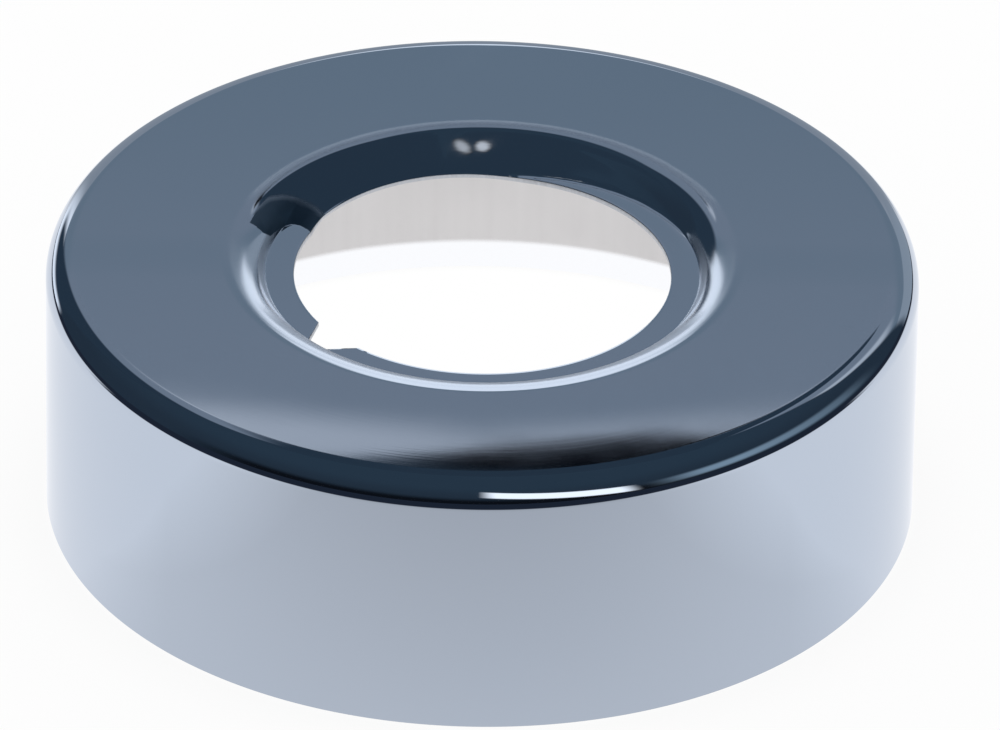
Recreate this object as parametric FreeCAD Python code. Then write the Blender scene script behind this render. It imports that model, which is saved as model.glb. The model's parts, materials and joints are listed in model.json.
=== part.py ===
import FreeCAD, Part
import math
import os

from FreeCAD import Vector

# Radiator pipe collar: a deep cup pressed in one piece from thin sheet, worn open side to the wall.
# Millimetres. The origin is the middle of the open rim, and +Z runs up the pipe's axis.

# Cup
outer_diameter = 62.5
height = 20.0
sheet = 0.4
shoulder_radius = 2.05  # outside of the bend from wall to face

# Pipe hole, and the sunk ledge that it is punched in
pipe_diameter = 26.9
pipe_clearance = 0.05  # on the radius
ledge_width = 2.05
ledge_depth = 1.7  # from the face down to the ledge
roll_radius = 3.2  # upper side of the bend where the face rolls down

# Angles are degrees round the axis, seen from above and counted from +X towards +Y
notch_angle = 218.5
notch_width = 3.7
notch_reach = 1.7  # out from the hole's edge
notch_corner_radius = 0.3

# Bent slit through the ledge. Before it the ledge gives way to a slope, which widens gradually from the
# roll to the hole. The level stretch after it ends in a tab beside the hole.
slit_angle = 163.0
slit_width = 0.25
slope_sweep = 151.0
slope_growth = 120.0  # part of the sweep over which the slope widens
slope_turn = 21.0  # how far the roll has turned where the slope leaves it
tab_length = 1.65  # along the hole's edge
tab_width = 1.5
tab_corner_radius = 0.7  # at the hole
tab_heel_radius = 0.25  # beside the slope

# How far the cutting tools reach past the sheet, and the points along the slope's foot
overcut = 1.0
slope_stations = 20

z_axis = Vector(0, 0, 1)
outer_radius = outer_diameter / 2
hole_radius = pipe_diameter / 2 + pipe_clearance
ledge_z = height - ledge_depth
foot_r = hole_radius + ledge_width
mouth_r = foot_r + roll_radius * math.sin(math.acos(1 - ledge_depth / roll_radius))
slit_turn = math.degrees(slit_width / hole_radius)
tab_angle = slit_angle - math.degrees(tab_length / hole_radius)
tab_r = hole_radius + tab_width
seam_r = mouth_r - roll_radius * math.sin(math.radians(slope_turn))
seam_z = height - roll_radius * (1 - math.cos(math.radians(slope_turn)))
inner_turn = math.degrees(math.asin((mouth_r - seam_r) / (roll_radius - sheet)))
seam_low = height - roll_radius + (roll_radius - sheet) * math.cos(math.radians(inner_turn))
slope_start = slit_angle - slope_sweep
tool_low = ledge_z - sheet - overcut
tool_depth = ledge_depth + sheet + 2 * overcut


def at(radius, angle, z):
    turn = math.radians(angle)
    return Vector(radius * math.cos(turn), radius * math.sin(turn), z)


def line(start, end):
    return Part.LineSegment(Vector(start[0], 0, start[1]), Vector(end[0], 0, end[1])).toShape()


def arc(centre, radius, first, last):
    points = []
    for angle in (first, (first + last) / 2, last):
        turn = math.radians(angle)
        points.append(Vector(centre[0] + radius * math.cos(turn), 0, centre[1] + radius * math.sin(turn)))
    return Part.Arc(*points).toShape()


def cup():
    """Wall, shoulder, face and the start of the roll, as far in as the slope's upper edge."""
    bend_z = height - shoulder_radius
    shoulder_x = outer_radius - shoulder_radius
    roll_centre = (mouth_r, height - roll_radius)
    edges = [line((outer_radius, 0), (outer_radius - sheet, 0)), line((seam_r, seam_z), (seam_r, seam_low))]
    for inset, roll_end in ((0, slope_turn), (sheet, inner_turn)):
        edges.append(line((outer_radius - inset, 0), (outer_radius - inset, bend_z)))
        edges.append(arc((shoulder_x, bend_z), shoulder_radius - inset, 0, 90))
        edges.append(line((shoulder_x, height - inset), (mouth_r, height - inset)))
        edges.append(arc(roll_centre, roll_radius - inset, 90, 90 + roll_end))
    section = Part.Face(Part.Wire(Part.__sortEdges__(edges)))
    return section.revolve(Vector(0, 0, 0), z_axis, 360)


def lower_roll():
    """The rest of the roll, down to the level stretch of the ledge."""
    centre = (mouth_r, height - roll_radius)
    bend = roll_radius - sheet
    upper_end = math.degrees(math.acos(1 - ledge_depth / roll_radius))
    lower_end = math.degrees(math.acos(1 - ledge_depth / bend))
    low = ledge_z - sheet
    heel_r = mouth_r - bend * math.sin(math.radians(lower_end))
    edges = [
        line((seam_r, seam_z), (seam_r, seam_low)),
        arc(centre, roll_radius, 90 + slope_turn, 90 + upper_end),
        arc(centre, bend, 90 + inner_turn, 90 + lower_end),
        line((foot_r, ledge_z), (foot_r, low)),
        line((foot_r, low), (heel_r, low)),
    ]
    section = Part.Face(Part.Wire(Part.__sortEdges__(edges)))
    roll = section.revolve(Vector(0, 0, 0), z_axis, 360 - slope_sweep - slit_turn)
    roll.rotate(Vector(0, 0, 0), z_axis, slit_angle + slit_turn)
    return roll


def hole():
    return Part.makeCylinder(hole_radius, tool_depth, Vector(0, 0, tool_low), z_axis)


def sector(radius, first, sweep):
    """Wedge of a round plate as thick as the sheet, from the first angle on."""
    wedge = Part.makeCylinder(radius, sheet, Vector(0, 0, ledge_z - sheet), z_axis, sweep)
    wedge.rotate(Vector(0, 0, 0), z_axis, first)
    return wedge


def tab_block(gap, low, depth):
    """The tab's plan, that much larger all round, as an upright block."""
    gap_turn = math.degrees(gap / hole_radius)
    inner_r = hole_radius - overcut
    end = slit_angle + slit_turn
    corners = [
        at(inner_r, tab_angle - gap_turn, low),
        at(tab_r + gap, tab_angle - gap_turn, low),
        at(foot_r + gap, end, low),
        at(inner_r, end, low),
    ]
    outline = Part.makePolygon(corners + corners[:1])
    return Part.Face(outline).extrude(Vector(0, 0, depth))


def round_corner(ledge, radius, angle, corner_radius):
    """Rounds the upright edge at that place on the rim of the ledge."""
    corner = at(radius, angle, ledge_z - sheet / 2)
    upright = min(ledge.Edges, key=lambda edge: edge.CenterOfMass.distanceToPoint(corner))
    return ledge.makeFillet(corner_radius, [upright])


def slope_top():
    """Upper side of the slope, straight from the roll down to a foot that leaves the roll for the hole."""
    inner_radius = hole_radius - overcut
    foot = []
    for station in range(slope_stations):
        turned = slope_sweep * station / (slope_stations - 1)
        ease = (1 - math.cos(math.pi * min(1, turned / slope_growth))) / 2
        foot.append(at(foot_r + (inner_radius - foot_r) * ease, slope_start + turned, ledge_z))
    curve = Part.BSplineCurve()
    curve.interpolate(foot)
    seam = Part.makeCircle(seam_r, Vector(0, 0, seam_z), z_axis, slope_start, slit_angle)
    return Part.makeRuledSurface(seam, curve.toShape())


def ledge():
    """The level stretch, which narrows beside the slope and ends in the tab, and the slope."""
    top = slope_top()
    room = top.translated(Vector(0, 0, -tool_depth)).extrude(Vector(0, 0, 2 * tool_depth))
    narrowing = sector(foot_r + overcut / 2, slope_start, slope_growth).cut(room)
    level = sector(foot_r, slit_angle + slit_turn, 360 - slope_sweep - slit_turn)
    tab = tab_block(0, ledge_z - sheet, sheet)
    level = level.fuse([narrowing, tab]).cut(hole()).removeSplitter()
    level = round_corner(level, hole_radius, tab_angle, tab_corner_radius)
    level = round_corner(level, tab_r, tab_angle, tab_heel_radius)
    slope = top.extrude(Vector(0, 0, seam_low - seam_z))
    return [level, slope.cut([hole(), tab_block(slit_width, tool_low, tool_depth)])]


def notch():
    """Square-sided cutter for the notch, pointing out from the axis."""
    corner = Vector(hole_radius - overcut, -notch_width / 2, tool_low)
    cutter = Part.makeBox(overcut + notch_reach, notch_width, tool_depth, corner)
    far_x = hole_radius + notch_reach
    far_edges = []
    for edge in cutter.Edges:
        upright = edge.BoundBox.ZLength > tool_depth / 2
        if upright and edge.CenterOfMass.x > far_x - notch_corner_radius:
            far_edges.append(edge)
    cutter = cutter.makeFillet(notch_corner_radius, far_edges)
    cutter.rotate(Vector(0, 0, 0), z_axis, notch_angle)
    return cutter


def pipe_collar():
    sheet_form = cup().fuse([lower_roll()] + ledge())
    return sheet_form.cut(notch()).removeSplitter()


os.makedirs("parts", exist_ok=True)
collar = pipe_collar()
collar.exportStep("parts/pipe_collar.step")
print("pipe_collar", collar.ShapeType, len(collar.Solids), collar.isValid(), round(collar.Volume, 2))
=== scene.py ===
import json
import math
import bpy
from mathutils import Matrix, Vector


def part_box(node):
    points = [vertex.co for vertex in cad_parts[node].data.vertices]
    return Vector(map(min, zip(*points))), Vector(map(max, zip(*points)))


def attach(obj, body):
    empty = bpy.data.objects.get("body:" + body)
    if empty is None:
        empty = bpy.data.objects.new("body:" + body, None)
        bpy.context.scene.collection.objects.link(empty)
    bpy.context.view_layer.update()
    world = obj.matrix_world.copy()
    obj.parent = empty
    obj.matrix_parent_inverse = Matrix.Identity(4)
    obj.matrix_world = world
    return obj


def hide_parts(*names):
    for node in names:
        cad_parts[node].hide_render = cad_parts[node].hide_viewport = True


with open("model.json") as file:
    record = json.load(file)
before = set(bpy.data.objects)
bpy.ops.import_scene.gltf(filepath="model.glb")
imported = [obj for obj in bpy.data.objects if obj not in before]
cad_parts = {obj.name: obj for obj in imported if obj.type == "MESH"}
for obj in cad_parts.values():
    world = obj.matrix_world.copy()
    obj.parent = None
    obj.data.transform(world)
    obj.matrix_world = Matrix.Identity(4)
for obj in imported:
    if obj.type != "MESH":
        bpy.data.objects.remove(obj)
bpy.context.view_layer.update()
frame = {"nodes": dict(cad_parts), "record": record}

mm = 0.001
print("frame loaded:", ", ".join(sorted(frame["nodes"])))


# Node sockets as Python values

class Wire:
    def __init__(self, tree, socket=None):
        self.tree = tree
        self.socket = socket

    def node(self, kind, settings=None, sockets=None, outlet=0):
        made = self.tree.nodes.new(kind)
        for name, value in (settings or {}).items():
            setattr(made, name, value)
        for name, value in (sockets or {}).items():
            if isinstance(value, Wire):
                value.feed(made.inputs[name])
            else:
                made.inputs[name].default_value = value
        return Wire(self.tree, made.outputs[outlet])

    def feed(self, target):
        self.tree.links.new(self.socket, target)

    def math(self, operation, *others):
        values = dict(enumerate((self,) + others))
        return self.node("ShaderNodeMath", {"operation": operation}, values)

    def __add__(self, other):
        return self.math("ADD", other)

    def __radd__(self, other):
        return self.math("ADD", other)

    def __sub__(self, other):
        return self.math("SUBTRACT", other)

    def __rsub__(self, other):
        return self.node("ShaderNodeMath", {"operation": "SUBTRACT"}, {0: other, 1: self})

    def __mul__(self, other):
        return self.math("MULTIPLY", other)

    def __rmul__(self, other):
        return self.math("MULTIPLY", other)

    def rise(self, start, end):  # 0 before start, 1 after end, smooth between
        return self.node(
            "ShaderNodeMapRange",
            {"interpolation_type": "SMOOTHSTEP"},
            {"Value": self, "From Min": start, "From Max": end},
        )

    def ramp(self, start, end, first, last):  # straight line from first to last, held beyond both ends
        sockets = {"Value": self, "From Min": start, "From Max": end, "To Min": first, "To Max": last}
        return self.node("ShaderNodeMapRange", None, sockets)

    def band(self, low, high, soft):  # 1 between low and high
        return self.rise(low - soft, low + soft) * (1 - self.rise(high - soft, high + soft))

    def tint(self, below, above):  # mixes two colours, with this value as the share of the second
        sockets = {0: self, 6: below, 7: above}
        return self.node("ShaderNodeMix", {"data_type": "RGBA"}, sockets, 2)

    def mix(self, below, above):  # the same for two shaders
        return self.node("ShaderNodeMixShader", None, {0: self, 1: below, 2: above})

    def place(self):  # the object's own coordinates, in mm
        there = self.node("ShaderNodeTexCoord", None, None, "Object")
        return self.node("ShaderNodeVectorMath", {"operation": "SCALE"}, {0: there, "Scale": 1 / mm})

    def axes(self):  # X, Y and Z of this vector
        split = self.node("ShaderNodeSeparateXYZ", None, {0: self}).socket.node
        return tuple(Wire(self.tree, outlet) for outlet in split.outputs)

    def stretch(self, factors):  # this wire is the vector
        return self.node("ShaderNodeVectorMath", {"operation": "MULTIPLY"}, {0: self, 1: factors})

    def noise(self, scale, detail=2.0, roughness=0.5):  # this wire is the vector
        sockets = {"Vector": self, "Scale": scale, "Detail": detail, "Roughness": roughness}
        return self.node("ShaderNodeTexNoise", None, sockets)

    def bump(self, depth, under=None):  # this wire is the height, and depth is in mm
        sockets = {"Strength": 1.0, "Distance": depth * mm, "Height": self}
        if under is not None:
            sockets["Normal"] = under
        return self.node("ShaderNodeBump", None, sockets)

    def glow(self, colour):
        return self.node("ShaderNodeEmission", None, {"Color": colour, "Strength": 1.0})

    def ray(self, kind):
        return self.node("ShaderNodeLightPath", None, None, kind)


def distance(across, upward):
    return (across * across + upward * upward).math("SQRT")


def grey(level):
    return (level, level, level, 1.0)


def metalFinish(name):
    material = bpy.data.materials.new(name)
    material.use_nodes = True
    shader = material.node_tree.nodes["Principled BSDF"]
    shader.inputs["Metallic"].default_value = 1.0
    return material, shader.inputs, Wire(material.node_tree)


# Finishes

plate = {  # in mm, with bands as distances from the axis
    "colour": (0.520, 0.575, 0.660, 1.0),
    "colourThin": (0.500, 0.560, 0.650, 1.0),  # where the chrome is a shade bluer
    "thinScale": 0.05,
    "roughness": 0.030,
    "smudge": 0.04,  # added roughness in the dullest patches
    "smudgeScale": 0.09,
    "lineScale": 9.0,  # polishing lines
    "lineWander": 0.05,
    "lineDepth": 0.0002,
    "waveScale": 0.11,
    "waveDepth": 0.004,
    "roll": (15.5, 18.15),
    "rollDull": 0.13,  # added roughness on the near roll, where the polishing wheel doesn't reach
    "foot": (15.6, 16.05),
    "footTop": (19.0, 19.4),
    "nearFoot": (15.6, 17.55),
    "footDull": 0.30,  # more at the foot of the roll
    "farLip": (17.75, 18.5),
    "lipDull": 0.20,  # where the far roll starts
    "ease": (18.1, 18.85),
    "easeDepth": 0.035,  # how far the face has sunk where the near roll starts
    "foldPaintedShade": (0.070, 0.115, 0.168, 1.0),  # painted shade where the slope's end is bent down on to the tab: a dark base colour standing in for the shade and dark reflection there
    "foldDull": 0.5,
}


def chromePlate():
    material, inputs, wires = metalFinish("chromePlate")
    place = wires.place()
    x, y, z = place.axes()
    radius = distance(x, y)
    foldPaintedShade = wires.node("ShaderNodeAttribute", {"attribute_name": "foldPaintedShade"}, None, "Fac")
    colour = place.noise(plate["thinScale"]).tint(plate["colour"], plate["colourThin"])
    # painted shade: the bend's dark base colour stands in for the shade and dark reflection where the slope
    # meets the tab
    foldPaintedShade.tint(colour, plate["foldPaintedShade"]).feed(inputs["Base Color"])

    along = (radius - z) * plate["lineScale"]  # over wall, shoulder, face and roll, so the lines are circles
    wander = {"X": along, "Y": x * plate["lineWander"], "Z": y * plate["lineWander"]}
    lines = wires.node("ShaderNodeCombineXYZ", None, wander).noise(1.0, 3.0, 0.6)
    smudges = place.noise(plate["smudgeScale"], 4.0, 0.55).rise(0.45, 0.75)
    roll = radius.band(*plate["roll"], 0.3) * (1 - y.rise(0, 4))
    foot = radius.band(*plate["foot"], 0.15) * (1 - y.rise(4, 6)) * (1 - z.rise(*plate["footTop"]))
    nearFoot = radius.band(*plate["nearFoot"], 0.2) * (1 - y.rise(-10, -6))
    farLip = radius.band(*plate["farLip"], 0.2) * y.rise(5, 9)
    dull = roll * plate["rollDull"] + foot.math("MAXIMUM", nearFoot) * plate["footDull"]
    dull = dull + farLip * plate["lipDull"] + foldPaintedShade * plate["foldDull"]
    rough = plate["roughness"] + plate["smudge"] * smudges * lines + dull
    rough.feed(inputs["Roughness"])

    sunk = radius.rise(*plate["ease"]) * (1 - y.rise(-4, 2))
    eased = sunk.bump(plate["easeDepth"])
    waves = place.noise(plate["waveScale"], 1.0, 0.4).bump(plate["waveDepth"], eased)
    lines.bump(plate["lineDepth"], waves).feed(inputs["Normal"])
    return material


inside = {
    "colour": (0.740, 0.720, 0.705, 1.0),
    "colourDull": (0.640, 0.622, 0.612, 1.0),
    "patchScale": 0.12,
    "paintedLightColour": (0.97, 0.97, 0.97, 1.0),  # painted light: a near-white band at the foot of the inside wall, standing in for the bright band of light there
    "rimHeight": 2.2,  # mm
    "rimSoft": 0.25,
    "rimRoughness": 0.06,
    "roughness": 0.32,
    "streaks": (1.5, 1.5, 0.06),  # drawing marks that run up the wall
    "streakDull": 0.15,
    "streakDepth": 0.004,
}


def dullInside():
    material, inputs, wires = metalFinish("dullInside")
    place = wires.place()
    x, y, z = place.axes()
    above = z.rise(inside["rimHeight"] - inside["rimSoft"], inside["rimHeight"] + inside["rimSoft"])
    patches = place.noise(inside["patchScale"], 3.0)
    colour = patches.tint(inside["colour"], inside["colourDull"])
    # painted light: below rimHeight the wall takes a near-white colour, a painted bright band
    above.tint(inside["paintedLightColour"], colour).feed(inputs["Base Color"])
    streaks = place.stretch(inside["streaks"]).noise(1.0, 3.0, 0.6)
    rough = inside["roughness"] + inside["streakDull"] * streaks
    rough = inside["rimRoughness"] + above * (rough - inside["rimRoughness"])
    rough.feed(inputs["Roughness"])
    streaks.bump(inside["streakDepth"]).feed(inputs["Normal"])
    return material


edge = {
    "colour": (0.56, 0.58, 0.61, 1.0),
    "colourTorn": (0.40, 0.41, 0.43, 1.0),
    "roughness": 0.22,
    "tears": (6.0, 6.0, 0.9),  # marks of the punch, across the sheet
    "tearDull": 0.25,
    "tearDepth": 0.006,
}


def cutEdge():
    material, inputs, wires = metalFinish("cutEdge")
    tears = wires.place().stretch(edge["tears"]).noise(1.0, 3.0, 0.6)
    tears.tint(edge["colour"], edge["colourTorn"]).feed(inputs["Base Color"])
    rough = edge["roughness"] + edge["tearDull"] * tears
    rough.feed(inputs["Roughness"])
    tears.bump(edge["tearDepth"]).feed(inputs["Normal"])
    return material


# The collar: the outer side of its section is drawn in the XZ plane and spun round the pipe's axis.
# The sheet that this gives is cut, sloped and thickened.

hole = next(mount for mount in frame["record"]["mounts"] if mount["name"] == "pipe_hole")
collarLow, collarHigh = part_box("pipe_collar")
collar = {
    "outerRadius": collarHigh.x,
    "height": collarHigh.z,
    "holeRadius": hole["dims"]["r_mm"] * mm,
    "sheet": hole["dims"]["length_mm"] * mm,
    "shoulderRadius": 2.05 * mm,
    "shoulderSteps": 28,
    "ledgeWidth": 2.05 * mm,
    "ledgeDepth": 1.7 * mm,
    "ledgeRings": 8,
    "rollRadius": 3.2 * mm,
    "rollSteps": 26,
    "footRadius": 0.08 * mm,  # bend from roll to ledge
    "footSteps": 8,
    "edgeRadius": 0.05 * mm,  # worn corners of the cut edges
    "edgeSteps": 3,
    "edgeAngle": 50.0,
    "spare": 0.1 * mm,  # to a spare ring beside each bend, which keeps flats flat
    "spinSteps": 360,
    "hair": 0.001 * mm,  # closer points are one
    "notchAngle": 220.3,  # degrees from +X towards +Y
    "notchMouth": 4.2 * mm,  # width at the hole's edge
    "notchWidth": 1.6 * mm,  # and at the far end
    "notchReach": 1.9 * mm,
    "notchCorner": 0.3 * mm,
    "notchSteps": 5,
    "notchBorder": 0.6 * mm,  # how far from its outline faces are cut
    "slitPath": (  # round the tab, as radius in mm and angle, from the hole out
        (13.2, 157.4),
        (13.9, 155.8),
        (14.6, 154.7),
        (15.2, 155.1),
        (15.5, 156.8),
        (15.65, 160.6),
        (15.8, 165.2),
        (16.2, 166.6),
        (17.2, 166.4),
    ),
    "slitBorder": 1.0 * mm,  # how far from it the grid is finer
    "slitCuts": 3,
    "lip": 2.2 * mm,  # how far before the slit the slope bends down on to the tab
    "foldGrowth": 3.0,  # how fast the painted shade and the dullness of the bend grow towards the slit
    "slopeStart": 12.0,  # from here to the slit the ledge gives way to a slope
    "slopeEase": 6.0,
    "slopeGrowth": 120.0,
    "slopeTurn": 21.0,  # how far the roll has turned where the slope leaves it
    "slopePast": 1.0 * mm,  # how far past the hole's edge the slope would reach the ledge's level
    "slopeSoft": 0.05 * mm,
    "softGrowth": 10.0,
}
ledgeZ = collar["height"] - collar["ledgeDepth"]
footRadius = collar["holeRadius"] + collar["ledgeWidth"]
sharpTurn = math.acos(1 - collar["ledgeDepth"] / collar["rollRadius"])  # with no bend at its foot
mouthRadius = footRadius + collar["rollRadius"] * math.sin(sharpTurn)
rollTurn = math.acos(1 - collar["ledgeDepth"] / (collar["rollRadius"] + collar["footRadius"]))


def deselectAll():
    bpy.ops.object.select_all(action="DESELECT")


def setMode(mode):
    bpy.ops.object.mode_set(mode=mode)


def polar(radius, angle):
    turn = math.radians(angle)
    return Vector((radius * math.cos(turn), radius * math.sin(turn), 0))


def startOutline(name, point):  # one vertex in edit mode
    deselectAll()
    bpy.ops.mesh.primitive_plane_add(size=1 * mm, location=(0, 0, 0))
    bpy.context.object.name = name
    setMode("EDIT")
    bpy.ops.mesh.select_mode(type="VERT")
    bpy.ops.mesh.select_all(action="SELECT")
    bpy.ops.mesh.merge(type="CENTER")
    bpy.ops.transform.translate(value=point)
    return Vector(point)


def drawLine(tip, point):
    end = Vector(point)
    bpy.ops.mesh.extrude_region_move(TRANSFORM_OT_translate={"value": end - tip})
    return end


def drawArc(tip, centre, turn, steps):
    arm = tip - Vector(centre)
    for step in range(steps):
        swung = Matrix.Rotation(turn * (step + 1) / steps, 3, (0, 1, 0)) @ arm
        tip = drawLine(tip, Vector(centre) + swung)
    return tip


def drawStraight(tip, point):  # a line with a spare vertex near each end
    end = Vector(point)
    inset = (end - tip).normalized() * collar["spare"]
    tip = drawLine(tip, tip + inset)
    tip = drawLine(tip, end - inset)
    return drawLine(tip, end)


def drawSection():  # from the rim up the wall, over the face and down the roll to the hole
    wallX = collar["outerRadius"]
    top = collar["height"]
    bendX = wallX - collar["shoulderRadius"]
    bendZ = top - collar["shoulderRadius"]
    rollZ = top - collar["rollRadius"]
    footX = mouthRadius - (collar["rollRadius"] + collar["footRadius"]) * math.sin(rollTurn)
    tip = startOutline("pipeCollar", (wallX, 0, 0))
    tip = drawStraight(tip, (wallX, 0, bendZ))
    tip = drawArc(tip, (bendX, 0, bendZ), -math.pi / 2, collar["shoulderSteps"])
    tip = drawStraight(tip, (mouthRadius, 0, top))
    tip = drawArc(tip, (mouthRadius, 0, rollZ), -rollTurn, collar["rollSteps"])
    tip = drawArc(tip, (footX, 0, ledgeZ + collar["footRadius"]), rollTurn, collar["footSteps"])
    for ring in range(collar["ledgeRings"]):
        reach = footX + (collar["holeRadius"] - footX) * (ring + 1) / collar["ledgeRings"]
        tip = drawLine(tip, (reach, 0, ledgeZ))


def spinSection():
    bpy.ops.mesh.select_all(action="SELECT")
    bpy.ops.mesh.spin(
        steps=collar["spinSteps"], angle=2 * math.pi, center=(0, 0, 0), axis=(0, 0, 1), use_auto_merge=True
    )
    bpy.ops.mesh.select_all(action="SELECT")
    bpy.ops.mesh.remove_doubles(threshold=collar["hair"])
    bpy.ops.mesh.normals_make_consistent(inside=False)
    setMode("OBJECT")
    piece = bpy.context.object
    if sum(face.normal.z for face in piece.data.polygons) < 0:  # an open sheet may come out face down
        setMode("EDIT")
        bpy.ops.mesh.flip_normals()
        setMode("OBJECT")
    return piece


def selectFaces(piece, wanted):  # inside the roll only
    setMode("EDIT")
    bpy.ops.mesh.select_mode(type="FACE")
    bpy.ops.mesh.select_all(action="DESELECT")
    setMode("OBJECT")
    for face in piece.data.polygons:
        spot = Vector((face.center.x, face.center.y, 0))
        face.select = math.hypot(spot.x, spot.y) < mouthRadius and wanted(spot)
    setMode("EDIT")


def fromLine(spot, start, end):  # distance from a line in plan
    run = end - start
    share = max(0.0, min(1.0, (spot - start).dot(run) / run.length_squared))
    return (spot - start - run * share).length


def fromSlit(spot):
    points = [polar(radius * mm, angle) for radius, angle in collar["slitPath"]]
    return min(fromLine(spot, start, end) for start, end in zip(points, points[1:]))


def refineSlit(piece):  # a finer grid for the step
    selectFaces(piece, lambda spot: fromSlit(spot) < collar["slitBorder"])
    bpy.ops.mesh.subdivide(number_cuts=collar["slitCuts"])
    setMode("OBJECT")


def notchSides(way):  # upright planes round the notch, each as a point and the way it faces
    far = collar["holeRadius"] + collar["notchReach"]
    lean = math.atan2(collar["notchMouth"] - collar["notchWidth"], 2 * collar["notchReach"])
    inset = collar["notchCorner"] * (1 - math.sin(lean)) / math.cos(lean)
    sides = []
    for hand in (-1, 1):
        aside = Vector((-way.y, way.x, 0)) * hand
        centre = way * (far - collar["notchCorner"]) + aside * (collar["notchWidth"] / 2 - inset)
        for step in range(collar["notchSteps"] + 1):
            turn = (math.pi / 2 - lean) * step / collar["notchSteps"]
            outward = way * math.cos(turn) + aside * math.sin(turn)
            sides.append((centre + outward * collar["notchCorner"], outward))
    return sides


def cutNotch(piece):
    way = polar(1.0, collar["notchAngle"])
    sides = notchSides(way)

    def outside(spot):  # how far outside the notch
        return max((spot - point).dot(outward) for point, outward in sides)

    def nearby(spot):
        return spot.dot(way) > 0 and abs(outside(spot)) < collar["notchBorder"]

    for point, outward in sides:
        selectFaces(piece, nearby)
        bpy.ops.mesh.bisect(plane_co=point, plane_no=outward, threshold=collar["hair"])
        setMode("OBJECT")
    selectFaces(piece, lambda spot: spot.dot(way) > 0 and outside(spot) < 0)
    bpy.ops.mesh.delete(type="FACE")
    setMode("OBJECT")


def slitAngleAt(radius):
    path = collar["slitPath"]
    for (near, nearAngle), (far, farAngle) in zip(path, path[1:]):
        if radius <= far * mm:
            return nearAngle + (farAngle - nearAngle) * (radius / mm - near) / (far - near)
    return path[-1][1]


def slopeLedge(piece):  # before the slit the roll runs out straight, to a foot that leaves it for the hole
    turn = math.radians(collar["slopeTurn"])
    seam = mouthRadius - collar["rollRadius"] * math.sin(turn)
    seamZ = collar["height"] - collar["rollRadius"] * (1 - math.cos(turn))
    endRadius = collar["holeRadius"] - collar["slopePast"]
    foldPaintedShade = piece.data.attributes.new("foldPaintedShade", "FLOAT", "POINT")
    for vertex in piece.data.vertices:
        radius = math.hypot(vertex.co.x, vertex.co.y)
        angle = math.degrees(math.atan2(vertex.co.y, vertex.co.x)) % 360
        if radius > seam or not collar["slopeStart"] < angle < slitAngleAt(radius):
            continue
        turned = angle - collar["slopeStart"]
        share = min(1.0, turned / collar["slopeGrowth"])
        foot = footRadius + (endRadius - footRadius) * (1 - math.cos(math.pi * share)) / 2
        line = seamZ - (seamZ - ledgeZ) * (seam - radius) / (seam - foot)
        over = line - vertex.co.z
        soft = collar["slopeSoft"] * min(1.0, collar["softGrowth"] * (seam - radius) / seam)
        rise = (over + math.sqrt(over * over + soft * soft)) / 2
        lip = min(1.0, fromSlit(Vector((vertex.co.x, vertex.co.y, 0))) / collar["lip"])
        begun = min(1.0, turned / collar["slopeEase"])
        vertex.co.z += rise * lip * (1.5 - 0.5 * lip * lip) * begun * begun * (3 - 2 * begun)
        # the bend's share of painted shade and of dullness
        foldPaintedShade.data[vertex.index].value = min(1.0, collar["foldGrowth"] * (1 - lip))


def addModifier(piece, kind, settings):
    modifier = piece.modifiers.new(kind.lower(), kind)
    for name, value in settings.items():
        setattr(modifier, name, value)
    bpy.ops.object.modifier_apply(modifier=modifier.name)


def thicken(piece):
    addModifier(
        piece,
        "SOLIDIFY",
        {
            "thickness": collar["sheet"],
            "offset": -1.0,
            "use_even_offset": True,
            "use_quality_normals": True,
            "material_offset": 1,
            "material_offset_rim": 2,
        },
    )
    addModifier(
        piece,
        "BEVEL",
        {
            "width": collar["edgeRadius"],
            "segments": collar["edgeSteps"],
            "limit_method": "ANGLE",
            "angle_limit": math.radians(collar["edgeAngle"]),
            "use_clamp_overlap": False,
        },
    )
    addModifier(piece, "WEIGHTED_NORMAL", {"weight": 50, "keep_sharp": True})


def pipeCollar():
    drawSection()
    piece = spinSection()
    refineSlit(piece)
    cutNotch(piece)
    slopeLedge(piece)
    for material in (chromePlate(), dullInside(), cutEdge()):
        piece.data.materials.append(material)
    deselectAll()
    bpy.context.view_layer.objects.active = piece
    piece.select_set(True)
    bpy.ops.object.shade_smooth()
    thicken(piece)
    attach(piece, "root")
    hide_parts("pipe_collar")
    print("collar:", len(piece.data.polygons), "faces")


# Studio: a pale floor, and cards that are seen only in the metal. Their sizes are in mm.

def bareMaterial(name):  # with no shader in it yet
    material = bpy.data.materials.new(name)
    material.use_nodes = True
    tree = material.node_tree
    tree.nodes.remove(tree.nodes["Principled BSDF"])
    return material, Wire(tree)


floorSettings = {
    "size": 6000.0,
    "below": 0.01,
    "colour": (0.80, 0.80, 0.80, 1.0),
    "seen": 0.90,  # share of plain white that the camera sees
    "paper": (0.99, 1.0, 1.03, 1.0),  # round paper under the collar
    "paperRadius": 87.0,
    "paperSoft": 4.0,
    "paperMiddle": 13.0,
    "stripHalf": 120.0,  # white strip that runs back from it
    "stripStart": 10.0,
    "stripEnd": 420.0,
    "front": 0.60,  # level at the paper's near edge, which the camera side leaves dim
    "frontReach": (-70, 5),
    "beside": 0.25,  # more light on both sides of the collar
    "besideReach": (-22, 5),
    "sides": 1.60,
    "sidesReach": (32, 75),
    "cup": (30, 32),
    "dark": (0.020, 0.028, 0.045, 1.0),
}


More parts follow.
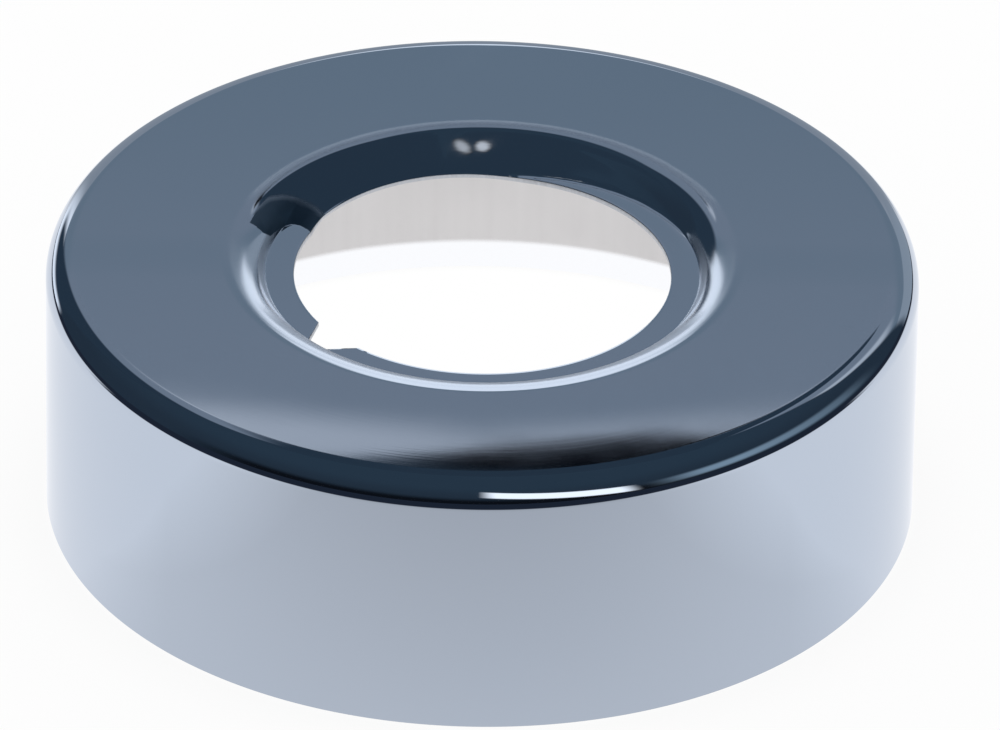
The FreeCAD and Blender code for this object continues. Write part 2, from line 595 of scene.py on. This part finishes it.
def paleFloor():
    f = floorSettings
    deselectAll()
    bpy.ops.mesh.primitive_plane_add(size=f["size"] * mm, location=(0, 0, -f["below"] * mm))
    floor = bpy.context.object
    floor.name = "paleFloor"
    material, wires = bareMaterial("paleFloor")
    floor.data.materials.append(material)
    x, y, z = wires.place().axes()
    fromMiddle = distance(x, y - f["paperMiddle"])
    paper = 1 - fromMiddle.rise(f["paperRadius"] - f["paperSoft"], f["paperRadius"] + f["paperSoft"])
    strip = x.band(-f["stripHalf"], f["stripHalf"], 15) * y.band(f["stripStart"], f["stripEnd"], 10)
    # painted light: inside the cup the floor is full white, which fills in the shade the cup casts there
    inCup = 1 - distance(x, y).rise(*f["cup"])
    level = y.ramp(*f["frontReach"], f["front"], 1.0) + y.ramp(*f["besideReach"], 0, f["beside"])
    level = level * x.math("ABSOLUTE").ramp(*f["sidesReach"], 1.0, f["sides"])
    level = level.math("MAXIMUM", inCup)
    lit = level.tint(grey(0.0), f["paper"])
    reflected = paper.math("MAXIMUM", strip).tint(f["dark"], lit)
    matt = wires.node("ShaderNodeBsdfDiffuse", None, {"Color": f["colour"]})
    # inside the cup the camera sees the floor full white: painted light in the cup's shade
    seen = wires.ray("Is Camera Ray") * (f["seen"] + inCup * (1 - f["seen"]))
    shown = seen.mix(matt, wires.glow(grey(1.0)))
    mirrored = wires.ray("Is Glossy Ray") + wires.ray("Is Transmission Ray")
    shown = mirrored.mix(shown, wires.glow(reflected))
    shown.feed(wires.tree.nodes["Material Output"].inputs["Surface"])
    print("floor laid")


def startCard(name):  # the object just added, and the X, Y and Z that its glow is drawn by
    card = bpy.context.object
    card.name = name
    bpy.ops.object.transform_apply(location=True, rotation=True, scale=True)
    material, wires = bareMaterial(name)
    card.data.materials.append(material)
    return card, *wires.place().axes()


def uprightCard(name, settings, lean=90.0):  # stands behind the collar and faces it
    deselectAll()
    bpy.ops.mesh.primitive_plane_add(size=1.0, rotation=(math.radians(lean), 0, 0))
    card = bpy.context.object
    wide, high = settings["card"]
    middleX, middleZ = settings["middle"]
    card.scale = (wide * mm, high * mm, 1)
    card.location = (middleX * mm, settings["distance"] * mm, middleZ * mm)
    return startCard(name)


def standCard(card, colour, cover):  # glows where it covers, clear elsewhere
    shown = cover.mix(cover.node("ShaderNodeBsdfTransparent"), cover.glow(colour))
    shown.feed(cover.tree.nodes["Material Output"].inputs["Surface"])
    for ray in ("camera", "diffuse", "transmission", "volume_scatter", "shadow"):
        setattr(card, "visible_" + ray, False)


navy = (0.030, 0.052, 0.078, 1.0)

screen = {
    "distance": 250.0,
    "card": (1400, 1400),
    "middle": (0, 450),
    "halfWide": 300.0,
    "high": 391.0,
    "slateLow": (0.205, 0.265, 0.325, 1.0),
    "slateHigh": (0.250, 0.298, 0.362, 1.0),
    "slateReach": (150, 188),
    "border": (0.60, 0.65, 0.71, 1.0),
    "borderReach": (200, 250),
    "borderRise": (150, 230),
    "white": (1.20, 1.25, 1.32, 1.0),
    "whiteTop": 146.5,  # in the middle, from where it falls to both sides
    "whiteFalls": ((0, 15, 0, 14.5), (15, 60, 0, 14), (-30, 0, 24, 0), (-90, -30, 10, 0)),
    "whiteEnd": (70, 108),
    "dimReach": (120, 148),  # left part, which only the bent parts mirror
    "dimRise": (20, 60),
}


def backScreen():
    s = screen
    card, x, y, z = uprightCard("backScreen", s)
    wide = x.math("ABSOLUTE")
    cover = 1 - wide.rise(s["halfWide"] - 25, s["halfWide"] + 25)
    cover = cover * (1 - z.rise(s["high"] - 20, s["high"] + 20))
    colour = z.rise(*s["slateReach"]).tint(s["slateLow"], s["slateHigh"])
    colour = (wide.rise(*s["borderReach"]) * z.rise(*s["borderRise"])).tint(colour, s["border"])
    aboveWhite = z - s["whiteTop"]
    for fall in s["whiteFalls"]:
        aboveWhite = aboveWhite + x.ramp(*fall)
    white = aboveWhite.ramp(-3, 3, 1.0, 0.0) * (1 - x.rise(*s["whiteEnd"]) * 0.85)
    colour = white.tint(colour, s["white"])
    colour = ((0 - x).rise(*s["dimReach"]) * z.rise(*s["dimRise"])).tint(colour, navy)
    standCard(card, colour, cover)
    print("screen stood")


highFlag = {
    "distance": 30.0,
    "card": (200, 120),
    "middle": (0, 100),
    "left": -18.0,
    "right": 23.0,
    "soft": 5.0,
    "foot": 57.4,
    "top": 130.0,
    "lean": 0.35,  # how far its edges spread per mm of height
}


def middleFlag():
    f = highFlag
    card, x, y, z = uprightCard("middleFlag", f)
    spread = (z - f["foot"]) * f["lean"]
    cover = z.rise(f["foot"] - 0.5, f["foot"] + 0.5) * (1 - z.rise(f["top"] - 10, f["top"] + 10))
    cover = cover * (x - (f["left"] - spread)).rise(-f["soft"], f["soft"])
    cover = cover * (1 - (x - (f["right"] + spread)).rise(-f["soft"], f["soft"]))
    standCard(card, navy, cover)


lowFlag = {
    "distance": 116.0,
    "card": (100, 20),
    "middle": (0, 111),
    "left": -19.7,
    "right": 25.1,
    "soft": 5.0,
    "foot": (-11, 13, 110.8, 108.1),  # falls from left to right
    "top": 114.5,
    "black": (0.001, 0.002, 0.004, 1.0),
    "blackReach": (-11, 1),
}


def lowerFlag():
    f = lowFlag
    card, x, y, z = uprightCard("lowerFlag", f)
    foot = x.ramp(*f["foot"])
    cover = (z - foot).rise(-0.5, 0.5) * (1 - z.rise(f["top"] - 0.5, f["top"] + 0.5))
    cover = cover * x.band(f["left"], f["right"], f["soft"])
    standCard(card, x.rise(*f["blackReach"]).tint(navy, f["black"]), cover)


paleStrip = {
    "distance": 118.0,
    "card": (120, 30),
    "middle": (0, 110),
    "colour": (0.62, 0.66, 0.72, 1.0),
    "half": 30.0,
    "foot": 108.3,
    "footFall": 0.1,  # per mm to both sides
    "top": 115.0,
    "strength": (-20, 15, 0.85, 0.6),
}


def paleCard():
    p = paleStrip
    card, x, y, z = uprightCard("paleCard", p)
    aboveFoot = z + x.math("ABSOLUTE") * p["footFall"] - p["foot"]
    cover = aboveFoot.rise(-0.6, 2.8) * (1 - z.rise(p["top"] - 1.5, p["top"] + 1.5))
    cover = cover * x.band(-p["half"], p["half"], 8) * x.ramp(*p["strength"])
    standCard(card, p["colour"], cover)


asideFlag = {
    "distance": 120.0,
    "card": (80, 200),
    "middle": (47, 200),
    "reach": (24.0, 70.0),
    "rise": (116.0, 280.0),
}


def sideFlag():
    card, x, y, z = uprightCard("sideFlag", asideFlag)
    standCard(card, navy, x.band(*asideFlag["reach"], 2) * z.band(*asideFlag["rise"], 3))
    print("flags stood")


spots = {
    "distance": 27.0,
    "card": (4, 14),
    "middle": (1.0, 52.5),
    "lean": 55.0,  # degrees, so that only the slope sees their underside
    "lamps": ((0.98, 54.2, 12.0, 6.7, 0.68), (0.73, 50.8, 7.6, 6.2, 0.88)),  # middle, half sizes and level
    "across": (8.65, 4.82),  # what a mm of X and of Z on the card is on the slope
    "upward": (20.7, 0.96),
}


def lampSpots():  # two small bare lamps, drawn askew so that they are ovals on the slope
    card, x, y, z = uprightCard("lampSpots", spots, spots["lean"])
    glows = []
    for middleX, middleZ, wide, high, level in spots["lamps"]:
        offX = x - middleX
        offZ = z - middleZ
        across = (offX * spots["across"][0] + offZ * spots["across"][1]) * (1 / wide)
        upward = (offX * spots["upward"][0] + offZ * spots["upward"][1]) * (1 / high)
        glows.append((1 - distance(across, upward).rise(0.4, 1.1)) * level)
    glow = glows[0].math("MAXIMUM", glows[1])
    under = glow.node("ShaderNodeNewGeometry", None, None, "Backfacing")
    standCard(card, glow.tint(grey(0.0), grey(1.0)), glow.rise(0.0, 0.1) * under)
    print("lamps stood")


rimBand = {
    "radius": 34.0,
    "low": 18.0,
    "high": 24.0,
    "sides": 180,
    "colour": (0.33, 0.37, 0.42, 1.0),
    "face": 29.2,  # radius where the flat face ends
    "foot": 19.4,
    "climb": 0.55,  # just under what the face mirrors
    "top": 23.2,
    "start": (10, 16),
}


def greyBand():  # low band behind the collar, which the far shoulder mirrors
    b = rimBand
    deselectAll()
    bpy.ops.mesh.primitive_cylinder_add(
        vertices=b["sides"],
        radius=b["radius"] * mm,
        depth=(b["high"] - b["low"]) * mm,
        end_fill_type="NOTHING",
        location=(0, 0, (b["high"] + b["low"]) / 2 * mm),
    )
    card, x, y, z = startCard("greyBand")
    faceEnd = (b["face"] * b["face"] - x * x).math("MAXIMUM", 0.0).math("SQRT")
    top = ((y - faceEnd) * b["climb"] + b["foot"]).math("MINIMUM", b["top"])
    standCard(card, b["colour"], y.rise(*b["start"]) * (top - z).rise(-0.2, 0.2))
    print("band laid")


room = {  # angles in degrees: height above the horizon, and turn from +Y towards +X
    "navyLow": (0.028, 0.046, 0.068, 1.0),
    "navyHigh": (0.034, 0.060, 0.088, 1.0),
    "navyRise": (20, 65),
    "black": (0.006, 0.008, 0.012, 1.0),  # behind the camera
    "blackTurn": (95, 125),
    "blackTop": (8, 26),
    "sideLight": (0.31, 0.42, 0.51, 1.0),  # low, to the right of the camera
    "sideTurn": (70, 130),
    "sideRise": (4, 22),
    "sideGrowth": (64, 112, 0.25, 1.0),
    "strip": 1.7,  # thin strip light that climbs behind the camera
    "stripTurn": (142.0, 178.0),
    "stripFoot": 14.0,
    "stripClimb": 0.61,
    "stripHalf": (9, 13),
    "diffuse": 0.75,  # level that matt surfaces get from all round
}


def studioRoom():
    r = room
    world = bpy.data.worlds.new("studioRoom")
    bpy.context.scene.world = world
    world.use_nodes = True
    tree = world.node_tree
    tree.nodes.remove(tree.nodes["Background"])
    wires = Wire(tree)
    x, y, z = wires.node("ShaderNodeTexCoord", None, None, "Generated").axes()
    up = z.math("ARCSINE") * (180 / math.pi)
    turn = x.math("ARCTAN2", y) * (180 / math.pi)
    colour = up.rise(*r["navyRise"]).tint(r["navyLow"], r["navyHigh"])
    black = turn.math("ABSOLUTE").rise(*r["blackTurn"]) * (1 - up.rise(*r["blackTop"]))
    colour = black.tint(colour, r["black"])
    low = turn.band(*r["sideTurn"], 10) * up.band(*r["sideRise"], 5) * turn.ramp(*r["sideGrowth"])
    colour = low.tint(colour, r["sideLight"])
    offStrip = (up - (r["stripFoot"] + r["stripClimb"] * (turn - r["stripTurn"][0]))).math("ABSOLUTE")
    strip = turn.band(*r["stripTurn"], 3) * (1 - offStrip.rise(*r["stripHalf"]))
    colour = strip.tint(colour, grey(r["strip"]))

    def backdrop(tone, strength):
        return wires.node("ShaderNodeBackground", None, {"Color": tone, "Strength": strength})

    shown = wires.ray("Is Glossy Ray").mix(backdrop(grey(1.0), r["diffuse"]), backdrop(colour, 1.0))
    shown = wires.ray("Is Camera Ray").mix(shown, backdrop(grey(1.0), 1.0))
    shown.feed(tree.nodes["World Output"].inputs["Surface"])
    print("room lit")


lamp = {"size": 0.6, "power": 6.0, "height": 1.2}


def softLamp():
    light = bpy.data.lights.new("softLamp", "AREA")
    light.shape = "DISK"
    light.size = lamp["size"]
    light.energy = lamp["power"]
    holder = bpy.data.objects.new("softLamp", light)
    holder.location = (0, 0, lamp["height"])
    holder.visible_glossy = False
    bpy.context.collection.objects.link(holder)
    print("lamp hung")


view = {
    "imageWide": 1000,
    "imageHigh": 730,
    "middlePixel": (481.1, 371.9),  # where the collar's middle lies in the photograph
    "pixelsPerMm": 13.917,
    "elevation": 31.9,
    "roll": 0.84,
    "distance": 1.0625,
    "sensor": 36.0,
    "clipEnd": 20.0,
}


def photoCamera():
    camera = bpy.data.cameras.new("photoCamera")
    camera.sensor_width = view["sensor"]
    focalPixels = view["pixelsPerMm"] / mm * view["distance"]
    camera.lens = focalPixels * view["sensor"] / view["imageWide"]
    camera.clip_end = view["clipEnd"]
    holder = bpy.data.objects.new("photoCamera", camera)
    bpy.context.collection.objects.link(holder)
    tilt = math.radians(view["elevation"])
    turn = math.radians(view["roll"])
    back = Vector((0, -math.cos(tilt), math.sin(tilt)))
    levelRight = Vector((1, 0, 0))
    levelUp = back.cross(levelRight)
    right = levelRight * math.cos(turn) + levelUp * math.sin(turn)
    upward = levelUp * math.cos(turn) - levelRight * math.sin(turn)
    pixel = mm / view["pixelsPerMm"]
    aside = (view["imageWide"] / 2 - view["middlePixel"][0]) * pixel
    above = (view["middlePixel"][1] - view["imageHigh"] / 2) * pixel
    middle = Vector((0, 0, collar["height"] / 2))
    place = middle + back * view["distance"] + right * aside + upward * above
    axes = Matrix((right, upward, back)).transposed().to_4x4()
    holder.matrix_world = Matrix.Translation(place) @ axes
    bpy.context.scene.camera = holder
    print("camera placed, lens", round(camera.lens, 1))


bpy.context.scene.view_settings.view_transform = "Standard"
pipeCollar()
paleFloor()
backScreen()
middleFlag()
lowerFlag()
paleCard()
sideFlag()
lampSpots()
greyBand()
studioRoom()
softLamp()
photoCamera()
